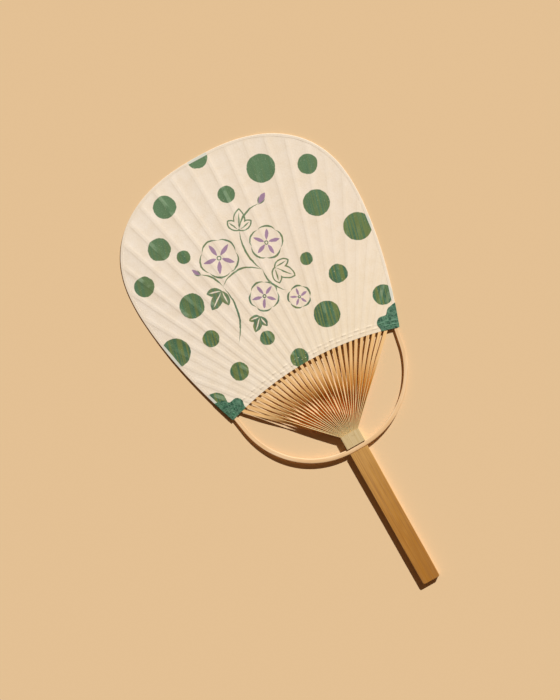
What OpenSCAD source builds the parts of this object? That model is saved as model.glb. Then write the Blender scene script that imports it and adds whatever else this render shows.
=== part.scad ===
// Round paper hand fan on a split bamboo frame, lying front face up on a flat surface.
// One strip of bamboo makes the handle, the neck and the ribs; a bent bow crosses it in an
// open notch and holds the rib fan open. Two papers, an edge tape and two folded corner
// papers cover the upper part of the ribs. Millimetres, +Y from the handle to the blade tip.

/* [Handle] */
// Length of the handle, from the bow notch to its end
handle_len = 143.5; // [110:0.5:180]
// Width of the handle beside the notch
handle_w = 19; // [16:0.5:24]
// Width of the handle at its end
handle_end_w = 18; // [14:0.5:22]
// Thickness of the handle at its end
handle_end_t = 4.8; // [3.5:0.1:6.5]
// Thickness of the handle beside the bow
handle_t = 5; // [4.9:0.1:6]
// Radius of the two corners at the handle's end
handle_corner_r = 2; // [1:0.1:4]
// Bevel that eases the long edges
edge_bevel = 0.5; // [0.2:0.1:1]

/* [Neck] */
// Distance from the notch's lower wall to the roots of the ribs
neck_len = 18.5; // [14:0.5:26]
// Width of the neck
neck_w = 19.8; // [17:0.2:25]
// Thickness of the neck
neck_t = 6; // [5.4:0.1:8]

/* [Bow] */
// Width of the bow where it crosses the neck, seen from the front
bow_w = 5.1; // [4:0.1:6.5]
// Width of the bow at its two tips
bow_tip_w = 3.6; // [3:0.1:4.4]
// Depth of the bow where it crosses the neck
bow_t = 3; // [2:0.1:3.4]
// Length of the straight middle stretch
bow_flat = 12; // [6:1:20]
// Bend radius of each arm, to the middle of its width
bow_r = 81; // [78:0.5:83]
// Angle through which each arm bends
bow_sweep = 80; // [76:1:82]
// Height of the bow's tips above the notch
bow_tip_y = 97; // [95:0.5:100]
// How far the bow lies below the neck's front face
bow_sink = 1.2; // [0.6:0.1:2]
// How far the thin end of each arm goes on below the papers
bow_thin_run = 2; // [1:0.5:6]
// Clearance round the bow in its notch
notch_gap = 0.1; // [0.05:0.05:0.3]

/* [Ribs] */
// Number of ribs that the strip is split into
rib_count = 28; // [20:1:30]
// Width of a rib
rib_w = 3; // [2.4:0.1:4]
// Thickness of a rib
rib_t = 0.66; // [0.5:0.02:0.8]
// Saw gap between two ribs at their roots
rib_slit = 0.06; // [0.04:0.01:0.12]
// Distance from the paper's corner to the outermost rib at the lower edge
corner_to_rib = 12.3; // [11.5:0.1:20]
// Length of the outermost rib inside the papers
outer_rib_run = 9; // [5:0.5:9]
// How far short of the outline the other ribs stop
rib_inset = 2.6; // [1:0.2:6]
// How late the twist from standing on edge to lying flat happens, 1 for even
rib_twist_pow = 1.3; // [1:0.1:2]
// Share of its open length after which a rib lies flat
rib_flat_share = 0.8; // [0.75:0.05:1]

/* [Blade] */
// Greatest width of the blade
blade_w = 241; // [225:1:255]
// Distance from the notch to the blade's tip
blade_top = 321.2; // [300:0.5:340]
// Distance from the notch to the widest place
widest_y = 221; // [205:1:230]
// Distance from the notch to the blade's two lower corners
corner_y = 83.6; // [80:0.2:86]
// How far each lower corner stands out past the bow
corner_margin = 1.23; // [0.8:0.01:3]
// Distance from the notch to the middle of the paper's lower edge
paper_edge_y = 98.1; // [94:0.5:104]
// How square the rounded top is, 2 for an ellipse
crown_pow = 2.38; // [2:0.02:3]
// How the sides curve in to the corners, 1 for straight
side_pow = 1.72; // [1.2:0.02:2.2]
// How far the blade bulges up in its middle
blade_rise = 3.5; // [2:0.5:8]

/* [Papers] */
// Thickness of each paper
paper_t = 0.18; // [0.1:0.02:0.3]
// Thickness of the edge tape
tape_t = 0.12; // [0.08:0.02:0.2]
// Width of the edge tape on each face
tape_w = 2.4; // [1.5:0.1:5]
// Run of the edge tape under each corner paper
tape_under_ear = 4; // [2:0.5:10]
// Thickness of the corner papers
ear_t = 0.15; // [0.1:0.01:0.25]
// Height of a corner paper along the outline
ear_h = 22.8; // [18:0.2:30]
// Reach of a corner paper's lobes from the corner
ear_reach = 21.8; // [17:0.2:25]
// Depth of the notch between the two lobes, as a share of the reach
ear_dip = 0.2; // [0:0.02:0.4]
// Glue gap between two layers
glue_gap = 0.04; // [0.03:0.01:0.06]

/* [Thread] */
// Thickness of the binding thread
thread_d = 0.4; // [0.3:0.05:0.6]
// Distance of the lower row from the paper's lower edge
lower_row = 4; // [3:0.1:5]
// Distance of the upper row from the paper's lower edge
upper_row = 7.5; // [6.5:0.1:9]

/* [Hidden] */

// Shares, steps and small runs that set how finely the curves are drawn
rib_steps_open = 7;
rib_steps_papered = 9;
sheet_columns = 28;
sheet_rows = 11;
tape_steps = 56;
ear_steps = 18;
ear_columns = 4;
bow_steps = 52;
bow_sides = 12;
thread_sides = 6;
rib_embed = 1.5;
thread_ramp = 1;
crown_share = 0.56;
join_overlap = 2;
rim_probe = 0.004;

// Layers, as distances from the middle surface of the blade
paper_in = rib_t / 2 + glue_gap;
paper_out = paper_in + paper_t;
tape_in = paper_out + glue_gap;
tape_out = tape_in + tape_t;
ear_in = tape_out + glue_gap;
ear_out = ear_in + ear_t;
thread_lift = thread_d + glue_gap;
rest_z = tape_out + glue_gap;

// Places that follow from the sizes
origin_y = (blade_top + tape_out - paper_out - handle_len) / 2;
bow_y = bow_w / 2 + notch_gap;
bow_arc = bow_r * bow_sweep * PI / 180;
bow_bend_x = bow_flat / 2 + bow_r * sin(bow_sweep);
bow_bend_y = bow_y + bow_r * (1 - cos(bow_sweep));
bow_tip_run = (bow_tip_y - bow_bend_y) / sin(bow_sweep);
bow_half = bow_flat / 2 + bow_arc + bow_tip_run;
half_corner = bow_bend_x + (corner_y - bow_bend_y) / tan(bow_sweep)
    + bow_tip_w / 2 / sin(bow_sweep) + corner_margin;
rib_spread = half_corner - corner_to_rib;
edge_sag = paper_edge_y - corner_y;
edge_r = (half_corner * half_corner + edge_sag * edge_sag) / (2 * edge_sag);
edge_centre_y = paper_edge_y - edge_r;
notch_w = bow_w + 2 * notch_gap;
bow_z = neck_t - bow_sink - bow_t / 2;
notch_floor = bow_z - bow_t / 2 - notch_gap;
root_pitch = (neck_w - 2 * edge_bevel) / rib_count;
root_half = root_pitch * (rib_count - 1) / 2;
root_z = neck_t - edge_bevel - rib_w / 2;

// Small helpers
function clamp01(v) = min(1, max(0, v));
function smooth(v) = let (c = clamp01(v)) c * c * (3 - 2 * c);
function mix(a, b, k) = a + (b - a) * k;
function unit(v) = v / norm(v);
function flat_list(rows) = [for (row = rows) for (item = row) item];
function lifted(p, z) = [p.x, p.y, z];

// Half the blade's width at a height, for an outline drawn in by an inset
function half_width(y, inset = 0) =
    let (half = blade_w / 2 - inset, top = blade_top - inset - widest_y)
    y > widest_y
        ? half * pow(max(0, 1 - pow((y - widest_y) / top, crown_pow)), 1 / crown_pow)
        : half - (blade_w / 2 - half_corner)
            * pow((widest_y - y) / (widest_y - corner_y), side_pow);

// A point on the outline: -1 is the left corner, 0 the tip, 1 the right corner
function rim(p) =
    let (side = sign(p), q = abs(p), turn = 90 * min(1, q / crown_share))
    q <= crown_share
        ? [side * blade_w / 2 * pow(sin(turn), 2 / crown_pow),
            widest_y + (blade_top - widest_y) * pow(cos(turn), 2 / crown_pow)]
        : let (y = mix(widest_y, corner_y, (q - crown_share) / (1 - crown_share)))
            [side * half_width(y), y];

// The outline's share at a height on its straight-ish sides
function rim_share(y) = crown_share + (1 - crown_share) * (widest_y - y) / (widest_y - corner_y);

// Direction from the outline into the blade
function rim_inward(p) =
    let (along = rim(p + rim_probe) - rim(p - rim_probe))
    unit([along.y, -along.x]);

// Height of the blade's middle surface: a shallow dome that meets the table at its rim
function blade_z(p) =
    rest_z + blade_rise * (1 - pow(2 * p.x / blade_w, 2))
        * (1 - pow((p.y - paper_edge_y) / (blade_top - paper_edge_y), 2));

// How far the papers stand off over the two rows of thread
function thread_bulge(p) =
    let (d = norm([p.x, p.y - edge_centre_y]) - edge_r,
        below = lower_row - 2 * thread_ramp,
        above = upper_row + 2 * thread_ramp)
    thread_lift * clamp01(min(d - below, above - d) / thread_ramp);

// A point on the paper's lower edge
function paper_edge(x) = [x, edge_centre_y + sqrt(edge_r * edge_r - x * x)];

// A point of the layer that lies a given distance above or below the middle surface
function layer(p, off) = lifted(p, blade_z(p) + off + sign(off) * thread_bulge(p));

// Solid between rings of points, each ring in the same turning sense
module loft(rings) {
    count = len(rings[0]);
    last = len(rings) - 1;
    sides = [for (k = [0:last - 1], i = [0:count - 1])
        let (j = (i + 1) % count, a = k * count, b = a + count)
        each [[a + i, a + j, b + i], [a + j, b + j, b + i]]];
    ends = [[for (i = [count - 1:-1:0]) i], [for (i = [0:count - 1]) last * count + i]];
    polyhedron(points = flat_list(rings), faces = concat(sides, ends));
}

// Solid between two grids of points that face each other
module thick_sheet(over, under) {
    rows = len(over);
    cols = len(over[0]);
    half = rows * cols;
    skin = [for (i = [0:rows - 2], j = [0:cols - 2])
        let (a = i * cols + j, b = a + cols)
        each [
            [a, b, a + 1], [a + 1, b, b + 1],
            [half + a, half + a + 1, half + b], [half + a + 1, half + b + 1, half + b]]];
    first_row = [for (j = [0:cols - 2])
        each [[j, j + 1, half + j], [j + 1, half + j + 1, half + j]]];
    last_row = [for (j = [0:cols - 2]) let (a = (rows - 1) * cols + j)
        each [[a, half + a, a + 1], [a + 1, half + a, half + a + 1]]];
    first_col = [for (i = [0:rows - 2]) let (a = i * cols, b = a + cols)
        each [[a, half + a, b], [b, half + a, half + b]]];
    last_col = [for (i = [0:rows - 2]) let (a = i * cols + cols - 1, b = a + cols)
        each [[a, b, half + a], [b, half + b, half + a]]];
    polyhedron(points = concat(flat_list(over), flat_list(under)),
        faces = concat(skin, first_row, last_row, first_col, last_col));
}

// Moves the fan from the notch to the middle of its length
module placed() {
    translate([0, -origin_y, 0]) children();
}

// Ribs. Each is a straight sliver that leaves the neck standing on edge and lies flat
// by the time it reaches the papers
function rib_at(i) = 2 * i / (rib_count - 1) - 1;
function rib_root(u) = [root_half * u, neck_len];
function rib_entry(u) = paper_edge(rib_spread * u);
function rib_dir(u) = unit(rib_entry(u) - rib_root(u));
function rib_open(u) = norm(rib_entry(u) - rib_root(u));
function rib_point(u, s) = rib_root(u) + rib_dir(u) * s;

// Length of a rib from its root to where the outline stops it, found by halving
function rib_reach(u, low, high, turns = 24) =
    turns == 0 ? low
        : let (s = (low + high) / 2, p = rib_point(u, s),
            inside = p.y < blade_top - rib_inset && abs(p.x) < half_width(p.y, rib_inset))
        inside ? rib_reach(u, s, high, turns - 1) : rib_reach(u, low, s, turns - 1);
function rib_len(u) = abs(u) == 1 ? rib_open(u) + outer_rib_run
    : rib_reach(u, rib_open(u), blade_top);

function rib_root_t(u) = root_pitch * rib_dir(u).y - rib_slit;
function rib_z(u, s) =
    mix(root_z, blade_z(rib_point(u, s)), smooth(s / rib_open(u)));
function rib_ring(u, s) =
    let (p = rib_point(u, s),
        laid = smooth(s / rib_open(u)),
        turn = 90 * pow(clamp01(s / rib_open(u) / rib_flat_share), rib_twist_pow),
        right = [rib_dir(u).y, -rib_dir(u).x, 0],
        up = [0, 0, 1],
        wide = (up * cos(turn) + right * sin(turn)) * rib_w / 2,
        thin_t = mix(rib_root_t(u), rib_t, clamp01(s / neck_len)),
        thin = (up * sin(turn) - right * cos(turn)) * thin_t / 2)
    [for (v = [-wide - thin, wide - thin, wide + thin, thin - wide])
        let (lean = laid * (blade_z(p + [v.x, v.y]) - blade_z(p)))
        lifted(p, rib_z(u, s) + lean) + v];

module rib(u) {
    open = rib_open(u);
    papered = rib_len(u) - open;
    stations = concat([-rib_embed, 0],
        [for (k = [1:rib_steps_open]) open * k / rib_steps_open],
        [for (k = [1:rib_steps_papered]) open + papered * k / rib_steps_papered]);
    loft([for (s = stations) rib_ring(u, s)]);
}

// Handle: a flat bar with eased edges whose thickness grows towards the neck
module bar_section(w, t) {
    b = edge_bevel;
    polygon([[b - w / 2, 0], [w / 2 - b, 0], [w / 2, b], [w / 2, t - b],
        [w / 2 - b, t], [b - w / 2, t], [-w / 2, t - b], [-w / 2, b]]);
}

module eased_post(r, t) {
    b = edge_bevel;
    rotate_extrude($fn = 32)
        polygon([[0, 0], [r - b, 0], [r, b], [r, t - b], [r - b, t], [0, t]]);
}

module handle_bar() {
    hull() {
        translate([0, join_overlap, 0]) rotate([90, 0, 0])
            linear_extrude(join_overlap) bar_section(handle_w, handle_t);
        for (side = [-1, 1])
            translate([side * (handle_end_w / 2 - handle_corner_r),
                    handle_corner_r - handle_len, 0])
                eased_post(handle_corner_r, handle_end_t);
    }
}

module neck_block() {
    translate([0, neck_len, 0]) rotate([90, 0, 0])
        linear_extrude(neck_len) bar_section(neck_w, neck_t);
}

module handle_and_ribs() {
    placed() {
        color("#bd8339") difference() {
            union() {
                handle_bar();
                neck_block();
            }
            translate([-neck_w, 0, notch_floor]) cube([2 * neck_w, notch_w, neck_t]);
        }
        color("#d9a766") for (i = [0:rib_count - 1]) rib(rib_at(i));
    }
}

// Bow: straight across the neck, then a bent arm and a straight tip on each side

// Middle line of the right arm, by the distance from the axis
function bow_point(s) =
    s <= bow_flat / 2 ? [s, bow_y]
        : let (bent = min(bow_arc, s - bow_flat / 2), turn = bent / bow_r * 180 / PI,
            past = max(0, s - bow_flat / 2 - bow_arc))
        [bow_flat / 2 + bow_r * sin(turn) + past * cos(turn),
            bow_y + bow_r * (1 - cos(turn)) + past * sin(turn)];
function bow_turn(s) = min(bow_sweep, max(0, s - bow_flat / 2) / bow_r * 180 / PI);

// The arm keeps its thin end while it is between the papers, and thickens to the neck
bow_hidden = (bow_tip_y - corner_y) / sin(bow_sweep) + bow_thin_run;
function bow_swell(s) = smooth((bow_half - bow_hidden - s) / (bow_half - bow_hidden - neck_w / 2));
function bow_ring(q) =
    let (side = q < 0 ? -1 : 1,
        s = abs(q) * bow_half,
        p = bow_point(s),
        k = bow_swell(s),
        w = mix(bow_tip_w, bow_w, 1 - abs(q)) / 2,
        t = mix(rib_t, bow_t, k) / 2,
        z = mix(blade_z(p), bow_z, k),
        out = [sin(bow_turn(s)), -cos(bow_turn(s))])
    [for (i = [0:bow_sides - 1])
        let (a = 360 * i / bow_sides, r = p + out * w * cos(a))
        [side * r.x, r.y, z + t * sin(a)]];

module bow() {
    color("#e9c58f") placed()
        loft([for (k = [0:bow_steps]) bow_ring(2 * k / bow_steps - 1)]);
}

// Thread rows. Each passes over one rib and under the next, and ends round the bow's tips
function post_point(u, row) =
    let (e = rib_entry(u), d = rib_dir(u), n = unit(e - [0, edge_centre_y]))
    e + d * row / (d * n);
function bow_post(side, row) =
    let (s = bow_half - (bow_tip_y - corner_y - row) / sin(bow_sweep), p = bow_point(s))
    [side * p.x, p.y];
function thread_posts(row) = concat([bow_post(-1, row)],
    [for (i = [0:rib_count - 1]) post_point(rib_at(i), row)], [bow_post(1, row)]);
function thread_ring(p, row, z) =
    let (out = unit(p - [0, edge_centre_y]),
        c = [0, edge_centre_y] + out * (edge_r + row))
    [for (i = [0:thread_sides - 1])
        let (a = -360 * i / thread_sides)
        lifted(c + out * cos(a) * thread_d / 2, blade_z(c) + z + sin(a) * thread_d / 2)];

module thread(row, first) {
    posts = thread_posts(row);
    last = len(posts) - 1;
    high = rib_t / 2 + thread_d / 2 + glue_gap / 2;
    reach = [rib_w / 2 + thread_d / 2, 0];
    turn_out = [thread_d, 0];
    loft(concat(
        [thread_ring(posts[0] - reach - turn_out, row, 0)],
        [for (i = [0:last]) let (z = high * first * (i % 2 == 0 ? 1 : -1))
            each [thread_ring(posts[i] - reach, row, z), thread_ring(posts[i] + reach, row, z)]],
        [thread_ring(posts[last] + reach + turn_out, row, 0)]));
}

module lower_thread() {
    color("#efe6d2") placed() thread(lower_row, 1);
}

module upper_thread() {
    color("#efe6d2") placed() thread(upper_row, -1);
}

// Papers: columns run from the lower edge to the outline, rows follow the lower edge
side_share = rim_share(corner_y + ear_h - outer_rib_run);
sheet_near = [0, lower_row - 2 * thread_ramp, lower_row - thread_ramp,
    upper_row + thread_ramp, upper_row + 2 * thread_ramp];
function sheet_point(u, i) =
    let (low = paper_edge(half_corner * u), high = rim(side_share * u),
        run = norm(high - low), near_end = sheet_near[len(sheet_near) - 1],
        s = i < len(sheet_near) ? sheet_near[i]
            : mix(near_end, run, (i - len(sheet_near) + 1) / sheet_rows))
    mix(low, high, s / run);
function sheet_grid(off) =
    [for (i = [0:len(sheet_near) + sheet_rows - 1])
        [for (j = [0:sheet_columns]) layer(sheet_point(2 * j / sheet_columns - 1, i), off)]];

module front_paper() {
    color("#f6e9d4") placed() thick_sheet(sheet_grid(paper_out), sheet_grid(paper_in));
}

module back_paper() {
    color("#efe0c8") placed() thick_sheet(sheet_grid(-paper_in), sheet_grid(-paper_out));
}

// A strip folded over the blade's edge: front flap, fold, back flap, at one place on the
// outline. The flap runs from the outline to an inner point
function folded(outer, inner, outward, off, steps) =
    concat(
        [for (k = [0:steps - 1]) layer(mix(inner, outer, k / steps), off)],
        [layer(outer + outward * (off - paper_out), off),
            layer(outer + outward * (off - paper_out), -off)],
        [for (k = [steps - 1:-1:0]) layer(mix(inner, outer, k / steps), -off)]);

tape_end = rim_share(corner_y + ear_h - tape_under_ear);
function tape_grid(off) =
    [for (k = [0:tape_steps])
        let (p = tape_end * (2 * k / tape_steps - 1), inward = rim_inward(p), outer = rim(p))
        folded(outer, outer + inward * tape_w, -inward, off, 1)];

module edge_tape() {
    color("#f4f0e6") placed() thick_sheet(tape_grid(tape_in), tape_grid(tape_out));
}

// Corner papers: two lobes that reach in from the corner, folded over the outline
ear_low_turn = 72;
ear_notch_turn = 18;
ear_lobe_turn = 26;
function ear_lobe(a) =
    let (turn = ear_low_turn * (1 - a),
        wave = abs(cos(90 * (turn - ear_notch_turn) / ear_lobe_turn)),
        r = ear_reach * (1 - ear_dip * pow(wave, 3)))
    [half_corner - r * sin(turn), corner_y + r * cos(turn)];
function ear_grid(side, off) =
    [for (k = [0:ear_steps])
        let (a = k / ear_steps, p = rim_share(corner_y + ear_h * a),
            outer = rim(p), inner = a == 0 ? paper_edge(ear_lobe(0).x) : ear_lobe(a),
            outward = -rim_inward(p))
        folded([side * outer.x, outer.y], [side * inner.x, inner.y],
            [side * outward.x, outward.y], off, ear_columns)];

module left_ear() {
    color("#2f5f41") placed() thick_sheet(ear_grid(-1, ear_in), ear_grid(-1, ear_out));
}

module right_ear() {
    color("#2f5f41") placed() thick_sheet(ear_grid(1, ear_out), ear_grid(1, ear_in));
}

handle_and_ribs();
bow();
lower_thread();
upper_thread();
front_paper();
back_paper();
edge_tape();
left_ear();
right_ear();
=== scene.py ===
"""Round paper hand fan on a split bamboo frame: the looks of its nine pieces.

Sizes are millimetres of the fan, y = 0 at the notch under the neck and y growing to the tip;
put() turns them into metres of the shared frame. Shapes are worked out as whole arrays.
"""

import math
import bpy
import numpy as np
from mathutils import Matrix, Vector


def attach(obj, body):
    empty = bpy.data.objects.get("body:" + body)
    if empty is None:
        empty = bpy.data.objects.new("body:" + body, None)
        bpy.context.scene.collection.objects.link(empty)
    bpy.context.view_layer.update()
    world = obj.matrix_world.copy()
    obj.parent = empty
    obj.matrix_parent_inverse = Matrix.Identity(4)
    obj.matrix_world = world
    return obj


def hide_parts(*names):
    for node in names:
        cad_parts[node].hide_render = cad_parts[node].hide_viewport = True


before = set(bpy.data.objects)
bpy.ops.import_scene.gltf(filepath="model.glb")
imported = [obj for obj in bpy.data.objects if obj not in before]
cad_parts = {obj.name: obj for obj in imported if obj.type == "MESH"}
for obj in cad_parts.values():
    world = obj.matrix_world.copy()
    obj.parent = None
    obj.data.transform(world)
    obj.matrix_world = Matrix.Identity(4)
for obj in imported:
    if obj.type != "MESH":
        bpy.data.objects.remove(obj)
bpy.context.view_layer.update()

# Handle and neck
HANDLE_LEN = 143.5
HANDLE_W = 19.0
HANDLE_END_W = 18.0
HANDLE_END_T = 4.8
HANDLE_T = 5.0
HANDLE_CORNER = 2.0
HANDLE_WAVE = 0.12
EASE = 0.5
END_EASE = 0.3
NECK_LEN = 18.5
NECK_W = 19.8
NECK_T = 6.0

# Bow
BOW_W = 5.1
BOW_TIP_W = 3.6
BOW_T = 3.0
BOW_FLAT = 12.0
BOW_R = 81.0
BOW_SWEEP = math.radians(80)
BOW_TIP_Y = 97.0
BOW_SINK = 1.2
BOW_THIN_RUN = 2.0
BOW_ROUND = 0.4
NOTCH_GAP = 0.1

# Ribs
RIB_COUNT = 28
RIB_W = 3.0
RIB_T = 0.66
RIB_SLIT = 0.06
RIB_BEVEL = 0.1
ROOT_DEPTH = 1.5
ROOT_SINK = 0.1
HIDDEN_T = 0.36
HIDDEN_FROM = 5.0
HIDDEN_RUN = 7.0
RIB_FLAT = 0.8
CORNER_TO_RIB = 12.3
OUTER_RUN = 9.0
RIB_INSET = 2.6
GRAIN_APART = 9.0

# Blade
BLADE_W = 241.0
BLADE_TOP = 321.2
WIDEST_Y = 221.0
CORNER_Y = 83.6
CORNER_MARGIN = 1.23
EDGE_Y = 98.1
CROWN_POW = 2.38
SIDE_POW = 1.72
CROWN_SHARE = 0.56
RIM_Z = 0.42
BLADE_RISE = 3.83
SLOPE = 0.8
TIP_RUN = 1.5
FOLD_FROM = 10.0
FOLD_RUN = 130.0
PANEL_SAG = 0.07

# Papers, tape, corner papers and thread
PAPER_T = 0.18
PAPER_LOW = 0.05
PAPER_HIGH = 0.15
TAPE_T = 0.1
TAPE_W = 2.4
TAPE_UNDER = 4.0
EAR_T = 0.15
EAR_H = 22.8
EAR_REACH = 21.8
EAR_DIP = 0.2
EAR_TURN = 72
EAR_DIP_AT = 18
EAR_LOBE = 52
CRUMPLE_H = 0.14
LAYER_GAP = 0.02
THREAD_D = 0.4
THREAD_ROWS = (4.0, 7.5)
THREAD_OVER = 0.22
THREAD_BETWEEN = 0.09
THREAD_SPREAD = 0.6
WEAVE = 1.5

# Places that follow from the sizes
BOW_Y = BOW_W / 2 + NOTCH_GAP
BOW_ARC = BOW_R * BOW_SWEEP
BOW_BEND_X = BOW_FLAT / 2 + BOW_R * math.sin(BOW_SWEEP)
BOW_BEND_Y = BOW_Y + BOW_R * (1 - math.cos(BOW_SWEEP))
BOW_HALF = BOW_FLAT / 2 + BOW_ARC + (BOW_TIP_Y - BOW_BEND_Y) / math.sin(BOW_SWEEP)
HALF_CORNER = (BOW_BEND_X + (CORNER_Y - BOW_BEND_Y) / math.tan(BOW_SWEEP)
               + BOW_TIP_W / 2 / math.sin(BOW_SWEEP) + CORNER_MARGIN)
RIB_SPREAD = HALF_CORNER - CORNER_TO_RIB
EDGE_SAG = EDGE_Y - CORNER_Y
EDGE_R = (HALF_CORNER ** 2 + EDGE_SAG ** 2) / (2 * EDGE_SAG)
EDGE_CENTRE = np.array([0.0, EDGE_Y - EDGE_R])
NOTCH_W = BOW_W + 2 * NOTCH_GAP
BOW_Z = NECK_T - BOW_SINK - BOW_T / 2
NOTCH_FLOOR = BOW_Z - BOW_T / 2 - NOTCH_GAP
ARM = np.array([math.cos(BOW_SWEEP), math.sin(BOW_SWEEP)])
ARM_LEN = (BOW_TIP_Y - BOW_BEND_Y) / ARM[1]
ROOT_PITCH = (NECK_W - 2 * EASE) / RIB_COUNT
ROOT_HALF = ROOT_PITCH * (RIB_COUNT - 1) / 2
ROOT_Z = NECK_T - ROOT_SINK - RIB_W / 2

# Where the shared frame's origin lies along the fan
ORIGIN_Y = 88.93

# What the hand leaves uneven: the share to which each rib lifts the papers, each fold's height,
# and the ranges of a rib's bends sideways and up, its turn's power and its share of the width
chance = np.random.default_rng(28)
RIB_U = np.linspace(-1, 1, RIB_COUNT)
RIB_LIFT = chance.uniform(0.55, 1.0, RIB_COUNT)
FOLD_LIFT = chance.uniform(0.0, 0.34, RIB_COUNT)
RIB_RANGES = ((-0.45, 0.45), (-0.25, 0.35), (1.15, 1.5), (0.92, 1.05))


# Arrays to meshes

def put(points):
    """Millimetres of the fan to metres of the shared frame."""
    return (points - np.array([0.0, ORIGIN_Y, 0.0])) * 0.001


def slab(upper, lower):
    """A closed sheet: two facing grids, and a strip of cells along each of their four edges."""
    rows, cols = upper.shape[:2]
    half = rows * cols
    n = np.arange(half).reshape(rows, cols)
    top = np.stack([n[:-1, :-1], n[:-1, 1:], n[1:, 1:], n[1:, :-1]], -1).reshape(-1, 4)
    around = np.concatenate([n[0, :-1], n[:-1, -1], n[-1, :0:-1], n[:0:-1, 0]])
    after = np.roll(around, -1)
    wall = np.stack([around, around + half, after + half, after], 1)
    points = np.concatenate([upper.reshape(-1, 3), lower.reshape(-1, 3)])
    return points, np.concatenate([top, top[:, ::-1] + half, wall])


def tube(rings):
    """A closed tube through rings of points, with each end filled by a strip of cells."""
    rows, cols = rings.shape[:2]
    base = np.arange(rows - 1)[:, None] * cols
    k = np.arange(cols)[None, :]
    n = (k + 1) % cols
    side = np.stack([base + k, base + n, base + cols + n, base + cols + k], -1).reshape(-1, 4)
    m = np.arange(cols // 2 - 1)
    cap = np.stack([m, m + 1, cols - 2 - m, cols - 1 - m], 1)
    return rings.reshape(-1, 3), np.concatenate([side, cap[:, ::-1], cap + (rows - 1) * cols])


def outwards(points, quads):
    """Cells that face out of a closed shell: turned round where the enclosed volume, a sum over
    cells of corner . (corner x corner), comes out below 0."""
    a, b, c, d = (points[quads[:, k]] for k in range(4))
    volume = np.einsum("ij,ij->i", a, np.cross(b, c) + np.cross(c, d)).sum()
    return quads if volume > 0 else quads[:, ::-1]


def joined(shells):
    """Several closed shells as one shape, and their grain: their points in turn, and their cells
    moved on to match."""
    points, cells, grains = zip(*shells)
    starts = np.cumsum([0] + [len(p) for p in points[:-1]])
    cells = [outwards(p, q) + start for p, q, start in zip(points, cells, starts)]
    return (np.concatenate(points), np.concatenate(cells)), np.concatenate(grains)


def placed(name, data):
    """A new object in the scene."""
    made = bpy.data.objects.new(name, data)
    bpy.context.scene.collection.objects.link(made)
    return made


def piece(name, shape, finishes, slot, node, which=None, sharp=40, **marks):
    """One object from points and cells. which numbers each cell's finish. marks are numbers that
    each point carries for its material: grain is a place in the bamboo or thread itself, in
    millimetres across, along and through it."""
    points, quads = shape
    at = put(points)
    mesh = bpy.data.meshes.new(name)
    mesh.from_pydata(at, [], outwards(at, quads))
    mesh.shade_smooth()
    mesh.set_sharp_from_angle(angle=math.radians(sharp))
    for finish in finishes:
        mesh.materials.append(finish)
    if which is not None:
        mesh.polygons.foreach_set("material_index", which.astype(np.int32))
    for key, values in marks.items():
        kind, field = ("FLOAT", "value") if values.ndim == 1 else ("FLOAT_VECTOR", "vector")
        mesh.attributes.new(key, kind, "POINT").data.foreach_set(
            field, values.astype(np.float32).ravel())
    made = placed(name, mesh)
    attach(made, "root")
    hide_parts(node)


# The fan's outline and surfaces

def smooth(v):
    """0 below 0, 1 above 1, and 3v2 - 2v3 between."""
    c = np.clip(v, 0, 1)
    return c * c * (3 - 2 * c)


def mix(a, b, k):
    """Evenly from a, where k is 0, to b, where k is 1."""
    return a + (b - a) * k


def unit(v):
    """Directions: vectors over their own lengths."""
    return v / np.linalg.norm(v, axis=-1, keepdims=True)


def half_width(y, inset=0.0):
    """Half the blade's width at a height: a squared-off ellipse above the widest place, and
    below it a side that curves in by a power of the distance."""
    half = BLADE_W / 2 - inset
    rise = np.clip((y - WIDEST_Y) / (BLADE_TOP - inset - WIDEST_Y), 0, 1)
    crown = half * (1 - rise ** CROWN_POW) ** (1 / CROWN_POW)
    fall = np.maximum(WIDEST_Y - y, 0) / (WIDEST_Y - CORNER_Y)
    return np.where(y > WIDEST_Y, crown, half - (BLADE_W / 2 - HALF_CORNER) * fall ** SIDE_POW)


def rim(p):
    """Points on the outline: -1 is the left corner, 0 the tip, 1 the right corner. Round the
    crown x = half width sin^(2/k), y = height cos^(2/k); below, y runs evenly."""
    side = np.where(p < 0, -1.0, 1.0)
    q = np.abs(p)
    turn = np.minimum(1, q / CROWN_SHARE) * math.pi / 2
    y_side = mix(WIDEST_Y, CORNER_Y, np.maximum(0, q - CROWN_SHARE) / (1 - CROWN_SHARE))
    x = np.where(q <= CROWN_SHARE, BLADE_W / 2 * np.sin(turn) ** (2 / CROWN_POW),
                 half_width(y_side))
    y = np.where(q <= CROWN_SHARE,
                 WIDEST_Y + (BLADE_TOP - WIDEST_Y) * np.cos(turn).clip(0) ** (2 / CROWN_POW),
                 y_side)
    return np.stack([side * x, y], -1)


def rim_share(y):
    """Where rim() passes a height below the widest place, at the right."""
    return CROWN_SHARE + (1 - CROWN_SHARE) * (WIDEST_Y - y) / (WIDEST_Y - CORNER_Y)


def to_the_right(d):
    """Directions in plan turned a quarter clockwise: (x, y) becomes (y, -x)."""
    return np.stack([d[..., 1], -d[..., 0]], -1)


def rim_outward(p):
    """Direction out of the blade: to the left of the outline, which runs clockwise."""
    step = 0.004
    return -to_the_right(unit(rim(p + step) - rim(p - step)))


def paper_edge(x):
    """Points on the paper's lower edge, an arc about a centre far below."""
    return np.stack([x, EDGE_CENTRE[1] + np.sqrt(EDGE_R ** 2 - x * x)], -1)


def reach(start, along, inset=0.0):
    """Distance, under 400 mm, from a start to where a line leaves the outline, by halving."""
    low = np.zeros(len(start))
    high = np.full(len(start), 400.0)
    for _ in range(40):
        s = (low + high) / 2
        at = start + along * s[:, None]
        inside = (at[:, 1] < BLADE_TOP - inset) & (np.abs(at[:, 0]) < half_width(at[:, 1], inset))
        low = np.where(inside, s, low)
        high = np.where(inside, high, s)
    return low


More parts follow.
